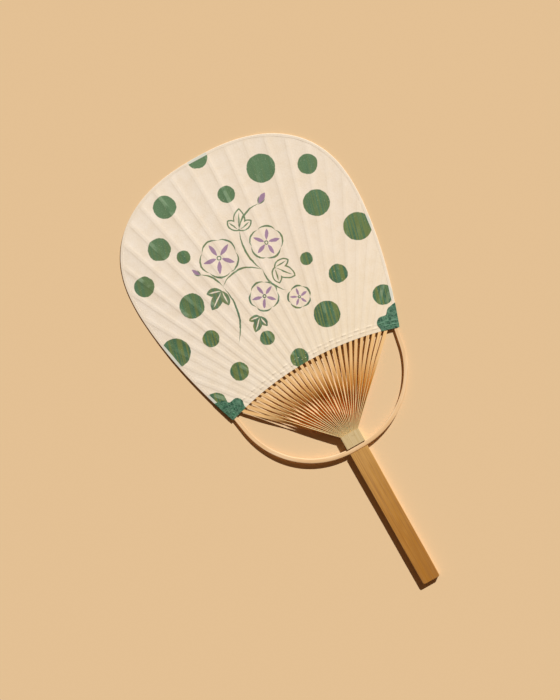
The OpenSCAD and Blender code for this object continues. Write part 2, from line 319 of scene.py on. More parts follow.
# Each rib's root and direction, where it goes under the papers, and its length up to there and
# in all: the outermost ribs end under the corner papers, and the others by the outline
ROOTS = np.stack([ROOT_HALF * RIB_U, np.full(RIB_COUNT, NECK_LEN)], -1)
ENTRIES = paper_edge(RIB_SPREAD * RIB_U)
ALONG = unit(ENTRIES - ROOTS)
OPEN = np.linalg.norm(ENTRIES - ROOTS, axis=-1)
RIB_LEN = OPEN + reach(ENTRIES, ALONG, RIB_INSET)
RIB_LEN[[0, -1]] = OPEN[[0, -1]] + OUTER_RUN


def over_ribs(at):
    """How the papers lie at points of the blade: the share 0 to 1 to which a rib lifts them,
    which rib that is, the height of the folds that run along the ribs, and the distance
    beyond the papers' lower edge.

    A rib lifts the paper fully over its own width and lets it down on a slope at each side.
    Between two ribs a fold is straight, less a sag of sin^2, so each panel tilts its own way."""
    flat = at.reshape(-1, 2)
    from_root = flat[:, None, :] - ROOTS[None]
    across = np.einsum("nik,ik->ni", from_root, to_the_right(ALONG))
    far = np.einsum("nik,ik->ni", from_root, ALONG)
    near = np.abs(across).argmin(1)
    rows = np.arange(len(flat))
    d = np.abs(across[rows, near])
    before_tip = smooth((RIB_LEN[near] + TIP_RUN - far[rows, near]) / (2 * TIP_RUN))
    lift = smooth((RIB_W / 2 + SLOPE - d) / SLOPE) * before_tip
    left = np.clip((across > 0).sum(1) - 1, 0, RIB_COUNT - 2)
    a, b = across[rows, left], across[rows, left + 1]
    share = np.clip(a / np.maximum(a - b, 1e-6), 0, 1)
    beyond = np.linalg.norm(flat - EDGE_CENTRE, axis=1) - EDGE_R
    grown = smooth((beyond - FOLD_FROM) / FOLD_RUN)
    sag = PANEL_SAG * np.sin(math.pi * share) ** 2
    fold = (mix(FOLD_LIFT[left], FOLD_LIFT[left + 1], share) - sag) * grown
    return [values.reshape(at.shape[:-1]) for values in (lift, near, fold, beyond)]


def over_arm(at):
    """The share 0 to 1 to which the bow's straight tips, under the corners, lift the papers."""
    x = np.abs(at[..., 0]) - BOW_BEND_X
    y = at[..., 1] - BOW_BEND_Y
    off = np.abs(x * ARM[1] - y * ARM[0])
    before_tip = smooth((ARM_LEN + TIP_RUN - x * ARM[0] - y * ARM[1]) / (2 * TIP_RUN))
    return smooth((BOW_TIP_W / 2 + SLOPE - off) / SLOPE) * before_tip


def dome(at):
    """Height of the blade's middle: a shallow dome, the product of two parabolas, that meets
    the table at its rim."""
    return RIM_Z + BLADE_RISE * ((1 - (2 * at[..., 0] / BLADE_W) ** 2)
                                 * (1 - ((at[..., 1] - EDGE_Y) / (BLADE_TOP - EDGE_Y)) ** 2))


def sheet_face(at, side, depth=0.0):
    """Height of a paper's outer face, or of what lies depth under it. side 1 is the front paper,
    -1 the back. Each row of thread lifts the paper along a bell curve, most where it passes
    over a rib on that side, every second rib."""
    lift, near, fold, beyond = over_ribs(at)
    arm = over_arm(at)
    thread = 0
    for row, way in zip(THREAD_ROWS, (1, -1)):
        bell = np.exp(-((beyond - row) / THREAD_SPREAD) ** 2)
        passes = (near % 2 == 1) == (side * way > 0)
        over = np.maximum(lift * passes, arm)
        thread = thread + bell * (THREAD_OVER * over + THREAD_BETWEEN)
    raised = np.maximum(lift * RIB_LIFT[near], arm)
    off = PAPER_LOW + (PAPER_HIGH - PAPER_LOW) * raised + thread + PAPER_T
    return dome(at) + fold + side * (off - depth)


def lifted(at, z):
    """Places in plan with a height each."""
    return np.concatenate([at, np.broadcast_to(z, at.shape[:-1])[..., None]], -1)


# Papers: columns run straight from the lower edge to the outline, eight by each rib, three
# between two ribs and more out to each corner; rows crowd over the two rows of thread

COLUMN_OFFSETS = np.array([-2.3, -1.9, -1.5, -0.7, 0.7, 1.5, 1.9, 2.3])
COLUMN_SHARES = np.array([0.25, 0.5, 0.75])
CORNER_COLUMNS = 13
CORNER_IN = 0.4
CORNER_UP = 0.5
ROWS_NEAR = np.array([0, 1.2, 2.4, 3.0, 3.5, 4.0, 4.5, 5.0, 5.7, 6.5, 7.0, 7.5, 8.0, 8.6, 9.6])
NEAR_SHARE = 1 / 1.3


def paper_columns():
    """Both ends of every column, on the lower edge and on the outline. A line meets the edge's
    circle sqrt(b2 - c) - b from its start, with b the start's place along it from the circle's
    centre and c the start's squared distance from the centre, less the radius squared."""
    per = len(COLUMN_OFFSETS)
    along = np.repeat(ALONG, per, 0)
    start = (np.repeat(ROOTS, per, 0)
             + to_the_right(along) * np.tile(COLUMN_OFFSETS, RIB_COUNT)[:, None])
    b = np.einsum("ij,ij->i", start - EDGE_CENTRE, along)
    c = ((start - EDGE_CENTRE) ** 2).sum(1) - EDGE_R ** 2
    low = start + along * (np.sqrt(b * b - c) - b)[:, None]
    high = low + along * reach(low, along)[:, None]
    share = np.linspace(0, 1, CORNER_COLUMNS + 1)[:-1]
    corners = []
    for side, end in ((-1, 0), (1, -1)):
        x = mix(side * (HALF_CORNER - CORNER_IN), low[end, 0], share)
        y = mix(CORNER_Y + CORNER_UP, high[end, 1], share)
        corners.append((paper_edge(x), np.stack([side * half_width(y), y], -1)))
    low, high = (ends.reshape(RIB_COUNT, per, 2) for ends in (low, high))
    between = [mix(ends[:-1, -1:], ends[1:, :1], COLUMN_SHARES[:, None]) for ends in (low, high)]
    mid_low = paper_edge(between[0][..., 0]).reshape(-1, 2)
    away = unit(between[1].reshape(-1, 2) - mid_low)
    mid_high = mid_low + away * reach(mid_low, away)[:, None]
    columns = []
    for k, (ribs, mid) in enumerate(((low, mid_low), (high, mid_high))):
        inner = np.concatenate([mid.reshape(RIB_COUNT - 1, -1, 2), ribs[1:]], 1)
        columns.append(np.concatenate([corners[0][k], ribs[0], inner.reshape(-1, 2),
                                       corners[1][k][::-1]]))
    return columns


def paper_grid(rows_far):
    """Points of a paper in plan, rows by columns. On a column too short for the rows by the
    thread, they shrink to their share of it."""
    low, high = paper_columns()
    run = np.linalg.norm(high - low, axis=1)
    near = ROWS_NEAR[:, None] * np.minimum(1, NEAR_SHARE * run / ROWS_NEAR[-1])
    far = mix(near[-1], run, np.linspace(0, 1, rows_far + 1)[1:, None])
    return mix(low, high, (np.concatenate([near, far]) / run)[..., None])


def paper(name, side, rows_far, finish, slot, node):
    """A sheet over the ribs. Its points carry how far a rib lifts them, which sets a painted
    highlight over the rib, and a crease, 4 k (1 - k) of that lift k, which is 1 halfway down the
    slope beside a rib and sets the painted shade there."""
    at = paper_grid(rows_far)
    outer = lifted(at, sheet_face(at, side))
    inner = lifted(at, sheet_face(at, side, PAPER_T))
    lift, near, _, _ = over_ribs(at)
    rib = (lift * RIB_LIFT[near]).ravel()
    crease = (4 * lift * (1 - lift) * RIB_LIFT[near]).ravel()
    piece(name, slab(outer, inner), [finish], slot, node,
          rib=np.tile(rib, 2), crease=np.tile(crease, 2))


# A strip folded over the blade's edge: front flap, round fold, back flap

def folded(p, inner, columns, standing, thickness, bumps=None):
    """Two facing grids: a flap over the front paper from inner to the outline at p, half a turn
    round the edge, and a flap over the back paper. standing is how far the strip's inner face
    stands off the papers."""
    outer, outward = rim(p)[:, None], rim_outward(p)[:, None]
    flap = mix(inner[:, None], outer, np.linspace(0, 1, columns)[:, None])
    front, back = sheet_face(flap, 1), sheet_face(flap, -1)
    shake = 0 if bumps is None else bumps(flap)
    turn = np.radians(np.linspace(90, -90, 9)[1:-1])
    faces = []
    for off in (standing + thickness, standing):
        up = front + off + shake
        down = back - off
        mid = (up[:, -1:] + down[:, -1:]) / 2
        half = (up[:, -1:] - down[:, -1:]) / 2
        round_at = outer + outward * (half * np.cos(turn))[..., None]
        faces.append(np.concatenate([lifted(flap, up), lifted(round_at, mid + half * np.sin(turn)),
                                     lifted(flap, down)[:, ::-1]], 1))
    return faces


def edge_tape(finish):
    """The strip along the outline, between the corner papers and a little under them. Two sine
    waves along it make its cut edge wander."""
    end = rim_share(CORNER_Y + EAR_H - TAPE_UNDER)
    p = np.linspace(-end, end, 420)
    wander = 0.18 * np.sin(p * 31) + 0.12 * np.sin(p * 77 + 1)
    inner = rim(p) - rim_outward(p) * (TAPE_W + wander)[:, None]
    piece("tape_rim", slab(*folded(p, inner, 6, LAYER_GAP, TAPE_T)),
          [finish], "edge_washi", "edge_tape")


WAVES = chance.uniform(-1, 1, (14, 2)) * 1.5
PHASES = chance.uniform(0, 6.3, 14)


def crumple(at):
    """Fine creases: the mean of fourteen waves, 3 mm long or more, folded up sharp by abs()."""
    waves = np.abs(np.sin(at @ WAVES.T + PHASES))
    return CRUMPLE_H * (waves.mean(-1) - 0.5)


def corner_paper(name, side, finish, node):
    """A lobed paper over a lower corner. Its inner edge is a circle about the corner, drawn in
    between its lobes: radius = reach (1 - dip |cos|^3), with half a turn of the cosine from one
    dip to the next. Bearings are degrees inwards from upwards."""
    a = np.linspace(0, 1, 60)
    turn = EAR_TURN * (1 - a)
    wave = np.abs(np.cos(np.radians(180 * (turn - EAR_DIP_AT) / EAR_LOBE)))
    r = EAR_REACH * (1 - EAR_DIP * wave ** 3)
    inner = np.stack([HALF_CORNER - r * np.sin(np.radians(turn)),
                      CORNER_Y + r * np.cos(np.radians(turn))], -1)
    inner[0] = paper_edge(inner[0, 0])
    faces = folded(side * rim_share(CORNER_Y + EAR_H * a), inner * np.array([side, 1]), 26,
                   LAYER_GAP + TAPE_T + LAYER_GAP, EAR_T, crumple)
    piece(name, slab(*faces), [finish], "corner_washi", node)


# Bamboo strip: handle, notch, neck and ribs

def bar_rings(y, w, t, base, ease):
    """Rings of an eased rectangle of width w and thickness t, standing at base, at each y: a
    quarter circle at each corner, and points along the two wide faces."""
    quarter = np.linspace(0, 1, 5) * math.pi / 2
    face = np.linspace(1, -1, 13)[1:-1]
    cx = np.concatenate([np.ones(10), face, -np.ones(10), -face])
    cz = np.repeat([-1.0, 1.0, -1.0], [5, 21, 16])
    turn = np.concatenate([quarter - math.pi / 2, quarter, np.full(11, math.pi / 2),
                           quarter + math.pi / 2, quarter + math.pi, np.full(11, -math.pi / 2)])
    x = cx * (w / 2 - ease)[:, None] + ease[:, None] * np.cos(turn)
    z = (base + t / 2)[:, None] + cz * (t / 2 - ease)[:, None] + ease[:, None] * np.sin(turn)
    return lifted(np.stack([x, np.broadcast_to(y[:, None], x.shape)], -1), z)


def handle_shell():
    """Stations run from the rounded end to the neck. Width and thickness follow straight tapers,
    with a slow wave in the width, and the notch is a drop in thickness between upright walls.
    In the grain, the edge is always at half the handle's full width."""
    end = HANDLE_CORNER * (1 - np.cos(np.linspace(0, 1, 9) * math.pi / 2))
    from_end = np.concatenate([end, np.linspace(HANDLE_CORNER, HANDLE_LEN, 70)[1:]])
    share = from_end / HANDLE_LEN
    round_in, ease_in = (r - np.sqrt(np.maximum(0, r ** 2 - np.maximum(0, r - from_end) ** 2))
                         for r in (HANDLE_CORNER, EASE))
    w = mix(HANDLE_END_W, HANDLE_W, share) - 2 * round_in + HANDLE_WAVE * np.sin(share * 9)
    t = mix(HANDLE_END_T, HANDLE_T, share) - 2 * ease_in
    notch_y = np.array([0.0, NOTCH_W / 2, NOTCH_W])
    neck_y = np.linspace(NOTCH_W, NECK_LEN, 12)
    more = (len(notch_y), len(neck_y))
    y = np.concatenate([from_end - HANDLE_LEN, notch_y, neck_y])
    w = np.concatenate([w, np.repeat([HANDLE_W, NECK_W], more)])
    t = np.concatenate([t, np.repeat([NOTCH_FLOOR, NECK_T], more)])
    base = np.concatenate([ease_in, np.zeros(sum(more))])
    ease = np.full(len(y), EASE)
    ease[0] = END_EASE
    rings = bar_rings(y, w, t, base, ease)
    grain = rings * 1.0
    grain[..., 0] *= (HANDLE_W / w)[:, None]
    return *tube(rings), grain.reshape(-1, 3)


def rib_shells():
    """Each rib leaves the neck standing on edge and lies flat by the papers: it turns by
    90 (s / 0.8)^k degrees and sinks from the neck's top to the blade's middle on an S curve. It
    thins from the neck's pitch, and again under the papers. A little bow sideways and up, its
    own k and its own width make every rib a split one."""
    bend, rise, power, wide_by = (chance.uniform(*ends, RIB_COUNT)[:, None]
                                  for ends in RIB_RANGES)
    open_len = OPEN[:, None]
    share = np.concatenate([[-ROOT_DEPTH / OPEN[0]], np.linspace(0, 1, 30)])
    hidden = np.linspace(0, 1, 15)[1:]
    s = np.concatenate([share * open_len, open_len + hidden * (RIB_LEN[:, None] - open_len)], 1)
    part = s / open_len
    inside = np.clip(part, 0, 1)
    swing = np.sin(math.pi * inside) ** 2
    right = to_the_right(ALONG)
    at = (ROOTS[:, None] + ALONG[:, None] * s[..., None]
          + right[:, None] * (bend * swing)[..., None])
    settled = smooth(part)
    z = mix(ROOT_Z, dome(at) + over_ribs(at)[2], settled) + rise * swing
    turn = np.minimum(1, inside / RIB_FLAT) ** power * math.pi / 2
    root_t = ROOT_PITCH * ALONG[:, 1:] - RIB_SLIT
    thin = mix(root_t, RIB_T, np.clip(s / NECK_LEN, 0, 1)) / 2
    thin = mix(thin, HIDDEN_T / 2, smooth((s - open_len + HIDDEN_FROM) / HIDDEN_RUN))
    wide = np.where(part > 1, RIB_W, RIB_W * wide_by) / 2
    level = lifted(right, 0.0)[:, None]
    up = np.array([0.0, 0.0, 1.0])
    cos, sin = np.cos(turn)[..., None], np.sin(turn)[..., None]
    wide_way = up * cos + level * sin
    thin_way = up * sin - level * cos
    number = np.broadcast_to(np.arange(RIB_COUNT)[:, None] * GRAIN_APART, s.shape)
    rings, grains = [], []
    # Round the section: the way to go across it and through it, and which of the two is bevelled
    for w, t, ew, et in ((-1, -1, 1, 0), (-1, -1, 0, 1), (-1, 1, 0, 1), (-1, 1, 1, 0),
                         (1, 1, 1, 0), (1, 1, 0, 1), (1, -1, 0, 1), (1, -1, 1, 0)):
        v = (wide_way * (w * (wide - RIB_BEVEL * ew))[..., None]
             + thin_way * (t * (thin - RIB_BEVEL * et))[..., None])
        lean = settled * (dome(at + v[..., :2]) - dome(at))
        rings.append(lifted(at, z + lean) + v)
        across = w * (1 - RIB_BEVEL * ew / wide) * RIB_W / 2
        grains.append(np.stack([across, s, number + t], -1))
    rings, grains = np.stack(rings, 2), np.stack(grains, 2)
    return [(*tube(r), g.reshape(-1, 3)) for r, g in zip(rings, grains)]


def bamboo_strip(handle_finish, neck_finish, rib_finish):
    """Handle, neck and ribs are one strip of bamboo with three finishes: 0 up to the notch's
    first wall, 1 beyond it, and 2 on the ribs."""
    shells = [handle_shell(), *rib_shells()]
    shape, grain = joined(shells)
    points, cells, _ = shells[0]
    beyond = points[cells][..., 1].mean(1) > NOTCH_GAP / 2
    which = np.concatenate([beyond, np.full(len(shape[1]) - len(cells), 2)])
    tone = np.repeat(chance.uniform(0, 1, RIB_COUNT), len(shells[1][0]))
    piece("strip_handle_and_ribs", shape, [handle_finish, neck_finish, rib_finish],
          "bamboo_frame", "handle_and_ribs", which, 35,
          tone=np.concatenate([np.zeros(len(points)), tone]), grain=grain)


def bow_line(s):
    """Middle line of an arm by the distance from the fan's axis: straight, arc, straight."""
    bent = np.clip(s - BOW_FLAT / 2, 0, BOW_ARC)
    turn = bent / BOW_R
    past = np.maximum(0, s - BOW_FLAT / 2 - BOW_ARC)
    x = np.minimum(s, BOW_FLAT / 2) + BOW_R * np.sin(turn) + past * np.cos(turn)
    y = BOW_Y + BOW_R * (1 - np.cos(turn)) + past * np.sin(turn)
    return np.stack([x, y], -1), turn


def bow_strip(finish):
    """A squared-off oval section carried along the bow, x = w |cos|^k and z = t |sin|^k with
    their signs. It narrows to its tips and thins to lie flat under the corner papers."""
    q = np.linspace(-1, 1, 241)
    side = np.where(q < 0, -1.0, 1.0)
    s = np.abs(q) * BOW_HALF
    line, turn = bow_line(s)
    at = line * np.stack([side, np.ones_like(side)], -1)
    hidden = (BOW_TIP_Y - CORNER_Y) / math.sin(BOW_SWEEP) + BOW_THIN_RUN
    swell = smooth((BOW_HALF - hidden - s) / (BOW_HALF - hidden - NECK_W / 2))
    w = mix(BOW_TIP_W, BOW_W, 1 - np.abs(q)) / 2
    t = mix(HIDDEN_T, BOW_T, swell) / 2
    z = mix(dome(at) + over_ribs(at)[2], BOW_Z, swell)
    out = np.stack([side * np.sin(turn), -np.cos(turn)], -1)
    a = np.linspace(0, 2 * math.pi, 20, endpoint=False)
    across, through = (half[:, None] * np.sign(c) * np.abs(c) ** BOW_ROUND
                       for half, c in ((w, np.cos(a)), (t, np.sin(a))))
    rings = lifted(at[:, None] + out[:, None] * across[..., None], z[:, None] + through)
    grain = np.broadcast_arrays(across, (q * BOW_HALF)[:, None], through)
    piece("strip_bow", tube(rings), [finish], "bamboo_bow", "bow",
          grain=np.stack(grain, -1).reshape(-1, 3))


def binding(name, row, first, finish, node):
    """Thread that goes over one rib and under the next, on an arc beside the papers' lower edge.
    Its height is a clipped cosine of the rib's number. Its ends stop just past the bow's arms."""
    entry = ENTRIES - EDGE_CENTRE
    slant = np.einsum("ij,ij->i", ALONG, unit(entry))
    posts = entry + ALONG * (row / slant)[:, None]
    tip = BOW_HALF - (BOW_TIP_Y - CORNER_Y - row) / math.sin(BOW_SWEEP)
    end = bow_line(np.array([tip]))[0][0] - EDGE_CENTRE
    last = math.atan2(end[0] + RIB_W / 2, end[1])
    angle = np.concatenate([[-last], np.arctan2(posts[:, 0], posts[:, 1]), [last]])
    q = np.linspace(0, RIB_COUNT + 1, 16 * (RIB_COUNT + 1) + 1)
    a = np.interp(q, np.arange(RIB_COUNT + 2), angle)
    high = HIDDEN_T / 2 + THREAD_D / 2 + LAYER_GAP
    weave = first * high * np.clip(WEAVE * np.cos(math.pi * q), -1, 1)
    out = np.stack([np.sin(a), np.cos(a)], -1)
    at = EDGE_CENTRE + out * (EDGE_R + row)
    k = np.linspace(0, 2 * math.pi, 8, endpoint=False)
    plan = at[:, None] + out[:, None] * (np.cos(k) * THREAD_D / 2)[:, None]
    z = (dome(at) + over_ribs(at)[2] + weave)[:, None] + np.sin(k) * THREAD_D / 2
    grain = np.broadcast_arrays(k * THREAD_D / 2, (a * (EDGE_R + row))[:, None], 0.0)
    piece(name, tube(lifted(plan, z)), [finish], "thread", node,
          grain=np.stack(grain, -1).reshape(-1, 3))


# Materials

def tint(code):
    """An sRGB hex colour as linear red, green, blue and alpha."""
    c = np.array([int(code[k:k + 2], 16) for k in (1, 3, 5)]) / 255
    return (*np.where(c <= 0.04045, c / 12.92, ((c + 0.055) / 1.055) ** 2.4), 1.0)


def add(tree, kind, inputs=(), out=0, **settings):
    """Adds a shader node with its settings, gives each socket named in inputs a value or
    another node's output, and returns one of its own outputs."""
    node = tree.nodes.new("ShaderNode" + kind)
    for key, value in settings.items():
        setattr(node, key, value)
    for key, value in dict(inputs).items():
        if isinstance(value, bpy.types.NodeSocket):
            tree.links.new(value, node.inputs[key])
        else:
            node.inputs[key].default_value = value
    return node.outputs[out] if len(node.outputs) else None


def begun(name):
    """A new material with an empty tree."""
    mat = bpy.data.materials.new(name)
    mat.use_nodes = True
    mat.node_tree.nodes.clear()
    return mat, mat.node_tree


def ended(mat, colour, rough, height, depth, shine):
    """Closes a material. rough is the value that sets its roughness, two of its numbers, and
    the roughness at each, evenly between. height, 0 to 1, stands depth metres high; shine
    holds the numbers that are the same all over."""
    tree = mat.node_tree
    rough = add(tree, "MapRange", dict(enumerate(rough)))
    relief = add(tree, "Bump", {"Height": height, "Distance": depth})
    body = add(tree, "BsdfPrincipled",
               {"Base Color": colour, "Roughness": rough, "Normal": relief, **shine})
    add(tree, "OutputMaterial", {"Surface": body})
    return mat


def layered(tree, colour, *coats):
    """A colour with others laid over it in turn. Each coat is its colour, the value that sets its
    share, and then where that value gives none of it (0 unless given), where it gives the most
    (1) and how much that is (1), evenly between and flat beyond. A colour is a hex value or an
    output."""
    for over, value, *ends in coats:
        low, high, top = (*ends, *(0.0, 1.0, 1.0)[len(ends):])
        share = add(tree, "MapRange", {0: value, 1: low, 2: high, 4: top})
        under, over = (tint(c) if isinstance(c, str) else c for c in (colour, over))
        colour = add(tree, "Mix", {0: share, 6: under, 7: over}, 2, data_type="RGBA")
    return colour


def lumps(tree, at, size, detail=2.0):
    """Noise whose lumps measure size millimetres, in each direction or in all."""
    scaled = add(tree, "VectorMath", {0: at, 1: 1 / np.full(3, size)}, operation="MULTIPLY")
    return add(tree, "TexNoise", {"Vector": scaled, "Scale": 1.0, "Detail": detail})


def on_fan(tree):
    """Object coordinates as millimetres of the fan seen from above: x across, y along it."""
    here = add(tree, "TexCoord", out="Object")
    return add(tree, "VectorMath", {0: here, 1: (1000.0, 1000.0, 0.0), 2: (0.0, ORIGIN_Y, 0.0)},
               operation="MULTIPLY_ADD")


# The print: every shape is a field, the millimetres outside it, and less than 0 inside. Dots
# are x, y and radius; flowers x, y, radius and bearing; leaves x, y, bearing, length and whether
# filled; vines start, end and how far they bulge to the left; buds x, y, bearing and length

DOTS = ((1.3, 320.3, 10.1), (9.0, 276.2, 8.4), (-48.8, 294.2, 11.1), (-73.1, 261.2, 11.2),
        (-56.3, 243.4, 6.6), (-103.2, 236.9, 9.8), (-72.2, 198.6, 12.1), (-107.6, 166.7, 14.0),
        (-71.5, 162.4, 8.1), (-62.9, 121.5, 9.0), (-98.1, 105.2, 11.0), (-23.9, 136.3, 7.1),
        (50.4, 281.8, 14.0), (91.3, 263.5, 9.8), (80.7, 226.8, 12.9), (104.0, 187.9, 13.7),
        (45.9, 184.5, 6.3), (65.5, 157.4, 9.2), (93.2, 118.6, 9.9), (37.1, 128.5, 12.9),
        (-6.3, 105.0, 8.9))
FLOWERS = ((-27, 226, 17, 100), (20, 217, 14.5, 60), (-7, 173, 13, 25), (22, 156, 10, 80))
LEAVES = ((-40, 197, 214, 21, True), (15, 192, -50, 21, False), (3, 240, 62, 20, False),
          (-20, 158, 225, 16, True))
VINES = (((-50, 146), (-37, 200), -7), ((-37, 200), (4, 196), 9), ((4, 196), (14, 168), -4),
         ((4, 196), (3, 240), 5), ((3, 240), (32, 253), 5), ((-37, 200), (-51, 221), -3))
BUDS = ((32, 253, 35, 12), (-51, 221, 118, 9))
LINE = 0.9


def merged(tree, fields, how="MINIMUM"):
    """One field from several: MINIMUM joins their shapes, MAXIMUM keeps what they share."""
    fields = iter(fields)
    total = next(fields)
    for field in fields:
        total = add(tree, "Math", {0: total, 1: field}, operation=how)
    return total


def disc(tree, at, centre, radius):
    """A circle: the distance from its centre, less its radius."""
    away = add(tree, "VectorMath", {0: at, 1: (*centre, 0.0)}, "Value", operation="DISTANCE")
    return add(tree, "Math", {0: away, 1: radius}, operation="SUBTRACT")


def outlined(tree, field, half):
    """A line along a shape's edge, half wide to each side: |field| - half."""
    off = add(tree, "Math", {0: field}, operation="ABSOLUTE")
    return add(tree, "Math", {0: off, 1: half}, operation="SUBTRACT")


def stroke(tree, at, start, end, left, right):
    """A brush stroke, pointed at both ends: what lies between two arcs from start to end that
    bulge left of the way by the two heights. An arc of chord c and height h has the radius
    (c2 / 4 + h2) / 2h."""
    start, end = np.array(start, float), np.array(end, float)
    half = np.linalg.norm(end - start) / 2
    aside = np.array([start[1] - end[1], end[0] - start[0]]) / (2 * half)
    fields = []
    for bulge, inside in ((left, left > 0), (right, right < 0)):
        radius = (half ** 2 + bulge ** 2) / (2 * abs(bulge))
        centre = (start + end) / 2 + aside * (bulge - math.copysign(radius, bulge))
        field = disc(tree, at, centre, radius)
        if not inside:
            field = add(tree, "Math", {0: field, 1: -1.0}, operation="MULTIPLY")
        fields.append(field)
    return merged(tree, fields, "MAXIMUM")


def from_here(x, y, bearing, length):
    """The place at a bearing, in degrees, and a distance."""
    turn = math.radians(bearing)
    return x + length * math.cos(turn), y + length * math.sin(turn)


def petal_place(tree, at, x, y, bearing):
    """Place within one of five petals: the angle about the flower's centre is folded over every
    36 degrees, and the distance is kept."""
    here = add(tree, "Mapping", {"Vector": at, "Location": (x, y, 0.0),
                                 "Rotation": (0.0, 0.0, math.radians(bearing))},
               vector_type="TEXTURE")
    parts = add(tree, "SeparateXYZ", {0: here}).node
    angle = add(tree, "Math", {0: parts.outputs[1], 1: parts.outputs[0]}, operation="ARCTAN2")
    angle = add(tree, "Math", {0: angle, 1: math.pi / 5}, operation="PINGPONG")
    away = add(tree, "VectorMath", {0: here}, "Value", operation="LENGTH")
    cos = add(tree, "Math", {0: angle}, operation="COSINE")
    sin = add(tree, "Math", {0: angle}, operation="SINE")
    flat = add(tree, "CombineXYZ", {0: cos, 1: sin})
    return add(tree, "VectorMath", {0: flat, "Scale": away}, operation="SCALE")


def green_lines(tree, at, petals):
    """Rims of the flowers, leaves in outline or filled with their veins left bare, and vines."""
    for place, size in petals:
        side = (size * math.cos(math.pi / 5), size * math.sin(math.pi / 5))
        yield stroke(tree, place, side, (side[0], -side[1]), size * 0.29 + LINE,
                     size * 0.29 - LINE)
        yield outlined(tree, disc(tree, place, (0.0, 0.0), size * 0.11), 0.5)
    for x, y, bearing, size, filled in LEAVES:
        lobes = ((0, 1.0, 0.26), (52, 0.72, 0.2), (-52, 0.72, 0.2))
        whole = merged(tree, (stroke(tree, at, (x, y), from_here(x, y, bearing + turn, size * long),
                                     size * wide, -size * wide) for turn, long, wide in lobes))
        veins = merged(tree, (stroke(tree, at, from_here(x, y, bearing + turn, 1.5),
                                     from_here(x, y, bearing + turn, size * long * 0.86),
                                     LINE * 0.8, 0.1 - LINE * 0.8) for turn, long, _ in lobes))
        if filled:
            veins = add(tree, "Math", {0: veins, 1: -1.0}, operation="MULTIPLY")
            yield merged(tree, (whole, veins), "MAXIMUM")
        else:
            yield merged(tree, (outlined(tree, whole, LINE * 0.72), veins))
    for start, end, bulge in VINES:
        yield stroke(tree, at, start, end, bulge + LINE, bulge - LINE)
    for x, y, bearing, size in BUDS:
        for way in (1, -1):
            ends = (from_here(x, y, bearing, -1), from_here(x, y, bearing + 24 * way, size * 0.6))
            yield stroke(tree, at, *ends, *((1.3, 0.1) if way > 0 else (-0.1, -1.3)))


def mauve_strokes(tree, at, petals):
    """Rays of the flowers, and buds."""
    for place, size in petals:
        yield stroke(tree, place, (size * 0.16, 0.0), (size * 0.92, 0.0), size * 0.12, -size * 0.12)
    for x, y, bearing, size in BUDS:
        yield stroke(tree, at, (x, y), from_here(x, y, bearing, size), size * 0.2, -size * 0.2)


def shaken(tree, at, reach, size):
    """Places moved about by noise, most of them by less than reach millimetres to each side, so
    that a printed edge isn't a true arc."""
    noise = add(tree, "TexNoise", {"Vector": at, "Scale": 1 / size, "Detail": 2.0}, "Color")
    noise = add(tree, "VectorMath", {0: noise, 1: (0.5, 0.5, 0.0)}, operation="SUBTRACT")
    return add(tree, "VectorMath", {0: noise, 1: (3 * reach, 3 * reach, 0.0), 2: at},
               operation="MULTIPLY_ADD")


def green_ink(tree, at):
    """Leaf green printing ink, rolled on: cloudy, olive where the roller dragged in streaks about
    2 mm wide, 15 degrees off the fan's axis, and paler towards the tip."""
    leaned = add(tree, "Mapping", {"Vector": at, "Rotation": (0.0, 0.0, math.radians(15))})
    high = add(tree, "SeparateXYZ", {0: at}, 1)
    kept = add(tree, "MapRange", {0: high, 1: 300.0, 2: 170.0, 4: 0.85})
    return layered(tree, "#2b5a3f",
                   ("#366b4a", lumps(tree, at, 9.0, 3.0), 0.35, 0.65),
                   ("#5b7d55", high, 150.0, 330.0),
                   ("#86a57c", lumps(tree, at, 0.9, 3.0), 0.52, 0.72, 0.45),
                   ("#6c7a38", lumps(tree, leaned, (1.9, 60.0, 1.0), 1.0), 0.44, 0.58, kept))


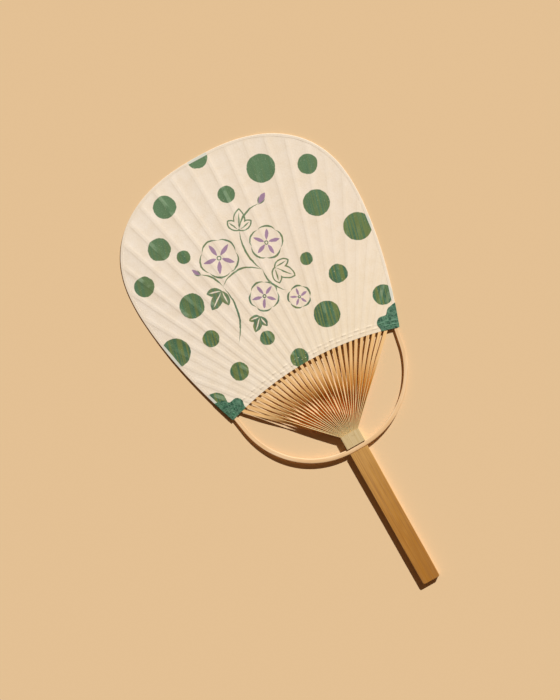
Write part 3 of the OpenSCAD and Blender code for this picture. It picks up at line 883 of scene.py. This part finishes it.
def washi(name, printed):
    """Kozo paper, made by hand in a sieve and left unsized: matt and cloudy, with long fibres
    lying all ways. It is painted paler over each rib's top as a painted highlight, tan on the
    slope beside each rib as painted shade, and paler towards its left side as painted light.
    The fibres are drawn about 0.3 mm wide, not 0.02 mm, so that they show. Printing ink is
    painted paler over the ribs' tops as a painted highlight, and misses a speck here and there."""
    mat, tree = begun(name)
    at = on_fan(tree)
    aside, high = (add(tree, "SeparateXYZ", {0: at}, axis) for axis in (0, 1))
    rib, crease = (add(tree, "Attribute", out="Fac", attribute_name=key)
                   for key in ("rib", "crease"))
    clouds = lumps(tree, at, 13.0, 4.0)
    mottle = lumps(tree, at, 1.6, 4.0)
    ridges = []
    for turn in (25, 85, 150):
        turned = add(tree, "Mapping", {"Vector": at, "Rotation": (0.0, 0.0, math.radians(turn))})
        off = add(tree, "Math", {0: lumps(tree, turned, (3.0, 16.0, 1.0)), 1: 0.5},
                  operation="SUBTRACT")
        ridges.append(add(tree, "Math", {0: off}, operation="ABSOLUTE"))
    fibres = add(tree, "MapRange", {0: merged(tree, ridges), 1: 0.014, 2: 0.0})
    # How strong the painted shade beside the ribs is, in patches about 5 mm across
    crease_shade_share = add(tree, "MapRange", {0: lumps(tree, at, 5.0), 1: 0.3, 2: 0.7, 4: 0.32})
    sheet = layered(tree, "#f0dfc1",
                    ("#efe0cb", high, 95.0, 200.0),
                    ("#efe2ce", high, 200.0, 320.0),
                    # Painted light: the sheet is painted paler towards its left side, to stand in
                    # for brighter light there
                    ("#f7ecdb", aside, 40.0, -90.0, 0.6),
                    ("#e4cea9", clouds, 0.62, 0.38, 0.25),
                    ("#f3e9d8", mottle, 0.4, 0.66, 0.25),
                    ("#d9c193", fibres, 0.0, 1.0, 0.16),
                    # Painted highlight: paler where a rib lifts the paper, over each rib's top
                    ("#f1e5d1", rib, 0.0, 1.0, 0.25),
                    # Painted shade: tan on the slopes beside each rib
                    ("#d8ba8a", crease, 0.0, 1.0, crease_shade_share))
    if printed:
        edge = shaken(tree, shaken(tree, at, 0.6, 10.0), 0.25, 2.4)
        # Painted highlight: the ink is painted paler over the ribs' tops, more in some patches than
        # others
        patchy = lumps(tree, at, 17.0, 3.0)
        thin = add(tree, "MapRange", {0: patchy, 1: 0.46, 2: 0.6, 4: 0.45})
        rib_top_highlight = add(tree, "Math", {0: rib, 1: 3.0}, operation="POWER")
        ink = layered(tree, green_ink(tree, at), ("#a5c09b", rib_top_highlight, 0.0, 1.0, thin))
        caught = add(tree, "MapRange", {0: mottle, 1: 0.95, 2: 0.64, 4: 0.97})
        dots = merged(tree, (disc(tree, edge, (x, y), r) for x, y, r in DOTS))
        petals = [(petal_place(tree, edge, x, y, bearing), size)
                  for x, y, size, bearing in FLOWERS]
        lines = merged(tree, green_lines(tree, edge, petals))
        rays = merged(tree, mauve_strokes(tree, edge, petals))
        sheet = layered(tree, sheet, (ink, dots, 0.25, -0.25, caught),
                        (ink, lines, 0.2, -0.2, 0.92), ("#8f6a94", rays, 0.2, -0.2, 0.85))
    height = add(tree, "Math", {0: fibres, 1: 0.35, 2: mottle}, operation="MULTIPLY_ADD")
    return ended(mat, sheet, (mottle, 0.3, 0.7, 0.7, 0.88), height, 0.00007,
                 {"Specular IOR Level": 0.25})


def washi_tape():
    """A strip of thinner kozo paper, pasted over the edge: it lets a little of what it
    covers through, so it turns a cool pale grey over the printed dots."""
    mat, tree = begun("thin_washi_tape")
    at = on_fan(tree)
    mottle = lumps(tree, at, 1.4, 4.0)
    dots = merged(tree, (disc(tree, at, (x, y), r) for x, y, r in DOTS))
    strip = layered(tree, "#e9dac2", ("#efe2cd", mottle, 0.35, 0.65),
                    ("#c6d2c8", dots, 0.4, -0.4, 0.6))
    return ended(mat, strip, (mottle, 0.3, 0.7, 0.67, 0.85), mottle, 0.00005,
                 {"Specular IOR Level": 0.3})


def crumpled_washi():
    """Kozo paper dyed green, crumpled by hand and pasted down: the dye is rubbed pale along the
    folds, which lie 2 to 6 mm apart, and dark in the hollows between them."""
    mat, tree = begun("crumpled_green_washi")
    at = shaken(tree, on_fan(tree), 1.6, 5.0)
    edges = [add(tree, "TexVoronoi", {"Vector": at, "Scale": 1 / size},
                 feature="DISTANCE_TO_EDGE") for size in (6.0, 2.6)]
    folds = add(tree, "MapRange", {0: merged(tree, edges), 1: 0.1, 2: 0.0})
    marble = lumps(tree, at, 4.5, 5.0)
    fine = lumps(tree, at, 0.9, 3.0)
    dye = layered(tree, "#1c4534", ("#3a6d50", marble, 0.36, 0.62),
                  ("#4f8263", fine, 0.42, 0.78, 0.45), ("#7ba386", folds, 0.0, 1.0, marble))
    height = add(tree, "Math", {0: folds, 1: 0.8, 2: fine}, operation="MULTIPLY_ADD")
    return ended(mat, dye, (fine, 0.3, 0.7, 0.54, 0.74), height, 0.00012,
                 {"Specular IOR Level": 0.35})


def bundles(tree):
    """Where a point lies in the bamboo, and its fibre bundles there: streaks about 0.5 mm wide
    and 60 mm long, with finer ones among them."""
    grain = add(tree, "Attribute", out="Vector", attribute_name="grain")
    return (grain, lumps(tree, grain, (0.9, 60.0, 0.9), 3.0),
            lumps(tree, grain, (0.28, 26.0, 0.28)))


def varnished_bamboo():
    """Moso bamboo with its skin scraped off, rubbed with a thin amber varnish: satin, streaked
    along its fibres, and darker towards the hand's end, partly with age and partly as painted
    shade. Its eased long edges are painted pale as a painted highlight. The sawn end shows the
    bundles as dark specks 0.6 mm apart."""
    mat, tree = begun("scraped_varnished_bamboo")
    grain, coarse, fine = bundles(tree)
    across, along, through = (add(tree, "SeparateXYZ", {0: grain}, axis) for axis in range(3))
    blotch = lumps(tree, grain, (11.0, 34.0, 11.0), 3.0)
    aside = add(tree, "Math", {0: across}, operation="ABSOLUTE")
    section = add(tree, "CombineXYZ", {0: across, 1: through})
    specks = add(tree, "TexVoronoi", {"Vector": section, "Scale": 1 / 0.625})
    sawn = layered(tree, "#c99a5c", ("#77481b", specks, 0.32, 0.12))
    wood = layered(tree, "#ad7328",
                   # Darker towards the hand's end: partly age, partly painted shade
                   ("#ba8134", along, -143.0, -75.0),
                   ("#ce9d57", along, -75.0, 0.0),
                   ("#8f5a22", coarse, 0.56, 0.36, 0.5),
                   ("#d4a667", fine, 0.5, 0.74, 0.5),
                   ("#9d6a30", blotch, 0.45, 0.7, 0.35),
                   # Painted highlight: a pale band along each eased long edge
                   ("#dcb47a", aside, 9.0, 9.4, 0.45),
                   (sawn, along, -143.2, -143.45))
    return ended(mat, wood, (coarse, 0.0, 1.0, 0.75, 0.0), fine, 0.00006,
                 {"Coat Weight": 0.25, "Coat Roughness": 0.35, "IOR": 1.48})


def bamboo_skin():
    """The culm's own skin, left on the neck: waxy, pale olive, hard and nearly smooth, with fine
    lines along it and a few grey flecks."""
    mat, tree = begun("bamboo_skin")
    grain, coarse, fine = bundles(tree)
    flecks = lumps(tree, grain, (2.4, 3.4, 2.4), 4.0)
    skin = layered(tree, "#cbb17d", ("#dcc596", coarse, 0.38, 0.64),
                   ("#a58c60", flecks, 0.58, 0.72, 0.4), ("#e6d3ac", fine, 0.52, 0.72, 0.3))
    return ended(mat, skin, (coarse, 0.0, 1.0, 0.72, 0.0), fine, 0.00003, {"IOR": 1.47})


def split_bamboo():
    """Ribs split from the same strip with a knife and left raw: orange straw wood on the split
    faces, paler towards the papers, and the skin as a thin pale line on one edge, which is all
    that shows by the neck. Every rib has its own tone."""
    mat, tree = begun("split_bamboo")
    grain, coarse, fine = bundles(tree)
    across, along = (add(tree, "SeparateXYZ", {0: grain}, axis) for axis in (0, 1))
    tone = add(tree, "Attribute", out="Fac", attribute_name="tone")
    skin = layered(tree, "#d3bb80", ("#e2cd98", coarse, 0.38, 0.64))
    wood = layered(tree, "#f0a23c",
                   ("#efc58c", along, 46.0, 68.0),
                   ("#ecb262", tone, 0.0, 1.0, 0.28),
                   ("#ab6a22", coarse, 0.54, 0.36, 0.45),
                   ("#f6cf8c", fine, 0.5, 0.68, 0.5),
                   (skin, across, 1.42, 1.48))
    return ended(mat, wood, (coarse, 0.0, 1.0, 1.0, 0.0), fine, 0.00005,
                 {"Specular IOR Level": 0.15})


def bent_bamboo():
    """The bow: bamboo planed to a strip, steamed and bent. Clean pale wood, with its bundles as
    fine lines that follow the curve."""
    mat, tree = begun("bent_bamboo")
    grain, coarse, fine = bundles(tree)
    patch = lumps(tree, grain, (6.0, 28.0, 6.0), 3.0)
    wood = layered(tree, "#eac18c", ("#f2d2a8", coarse, 0.38, 0.62),
                   ("#cf9c5c", fine, 0.46, 0.3, 0.45), ("#dfb076", patch, 0.5, 0.72, 0.4))
    return ended(mat, wood, (coarse, 0.0, 1.0, 0.85, 0.0), fine, 0.00005, {"IOR": 1.47})


def cotton_thread():
    """Two-ply cotton: plies that cross the thread slantwise every 0.7 mm, soft and matt, with
    painted shade in the grooves between them.
    """
    mat, tree = begun("cotton_thread")
    grain = add(tree, "Attribute", out="Vector", attribute_name="grain")
    around, along = (add(tree, "SeparateXYZ", {0: grain}, axis) for axis in (0, 1))
    run = add(tree, "Math", {0: along, 1: 2 * math.pi / 0.7}, operation="MULTIPLY")
    twist = add(tree, "Math", {0: around, 1: 2 / THREAD_D, 2: run}, operation="MULTIPLY_ADD")
    ply = add(tree, "Math", {0: twist}, operation="SINE")
    ply = add(tree, "MapRange", {0: ply, 1: -1.0, 2: 1.0})
    # Painted shade: darker in the grooves between the plies
    cotton = layered(tree, "#cdbf9f", ("#f2ead8", ply))
    fluff = lumps(tree, grain, (0.3, 0.6, 0.3))
    return ended(mat, cotton, (fluff, 0.3, 0.7, 0.75, 0.95), ply, 0.00008,
                 {"Specular IOR Level": 0.2})


def pale_board():
    """The plain floor under the fan, matt and even."""
    mat, tree = begun("pale_board")
    mottle = lumps(tree, on_fan(tree), 2.0)
    board = layered(tree, "#e6c79b", ("#e4c598", mottle, 0.3, 0.7, 0.5))
    return ended(mat, board, (mottle, 0.0, 1.0, 0.85, 0.85), mottle, 0.00001,
                 {"Specular IOR Level": 0.1})


bamboo_strip(varnished_bamboo(), bamboo_skin(), split_bamboo())
bow_strip(bent_bamboo())
paper("sheet_front", 1, 84, washi("kozo_washi_printed", True), "front_washi", "front_paper")
paper("sheet_back", -1, 60, washi("kozo_washi_plain", False), "back_washi", "back_paper")
edge_tape(washi_tape())
ear_finish = crumpled_washi()
corner_paper("corner_left", -1, ear_finish, "left_ear")
corner_paper("corner_right", 1, ear_finish, "right_ear")
thread_finish = cotton_thread()
binding("binding_lower", THREAD_ROWS[0], 1, thread_finish, "lower_thread")
binding("binding_upper", THREAD_ROWS[1], -1, thread_finish, "upper_thread")

# Floor, light and camera

FLOOR_HALF = 3.0
FLOOR_Z = -0.0001
floor_mesh = bpy.data.meshes.new("floor")
floor_mesh.from_pydata([(x * FLOOR_HALF, y * FLOOR_HALF, FLOOR_Z)
                        for x, y in ((-1, -1), (1, -1), (1, 1), (-1, 1))], [], [(0, 1, 2, 3)])
floor_mesh.materials.append(pale_board())
placed("floor", floor_mesh)

# A low sun from the fan's right and tip, as strong on the level floor as SUN_ON_FLOOR says, and
# warm light from all round that fills its shadows
SUN_HEIGHT = math.radians(34)
SUN_SIDE = (0.80, 0.60)
SUN_WIDTH = math.radians(1.5)
SUN_ON_FLOOR = 0.87
FILL = (0.11, 0.06, 0.032)
toward = Vector((*(c * math.cos(SUN_HEIGHT) for c in SUN_SIDE), math.sin(SUN_HEIGHT)))
sun = bpy.data.lights.new("window_light", "SUN")
sun.energy = SUN_ON_FLOOR * math.pi / math.sin(SUN_HEIGHT)
sun.angle = SUN_WIDTH
sun_object = placed("window_light", sun)
sun_object.rotation_mode = "QUATERNION"
sun_object.rotation_quaternion = toward.to_track_quat("Z", "Y")

world = bpy.data.worlds.new("studio")
world.use_nodes = True
tree = world.node_tree
tree.nodes.clear()
seen = add(tree, "LightPath", out="Is Camera Ray")
fill = add(tree, "Background", {"Color": (*FILL, 1.0)})
pale = add(tree, "Background", {"Color": tint("#efe3d0")})
both = add(tree, "MixShader", {0: seen, 1: fill, 2: pale})
add(tree, "OutputWorld", {"Surface": both})
bpy.context.scene.world = world

# Straight above the fan, in metres: the frame shows FRAME_TALL of the floor's length, and the
# fan leans to the left in it
SENSOR = 36.0
CAMERA_HEIGHT = 1.7
FRAME_TALL = 0.672
CAMERA_AT = (-0.0191, 0.0315, CAMERA_HEIGHT + 0.003)
LEAN = math.atan2(-0.4889, 0.8723)
camera = bpy.data.cameras.new("camera")
camera.sensor_width = SENSOR
camera.lens = SENSOR * CAMERA_HEIGHT / FRAME_TALL
camera_object = placed("camera", camera)
camera_object.location = CAMERA_AT
camera_object.rotation_euler = (0.0, 0.0, LEAN)
bpy.context.scene.camera = camera_object
bpy.context.scene.view_settings.view_transform = "Standard"
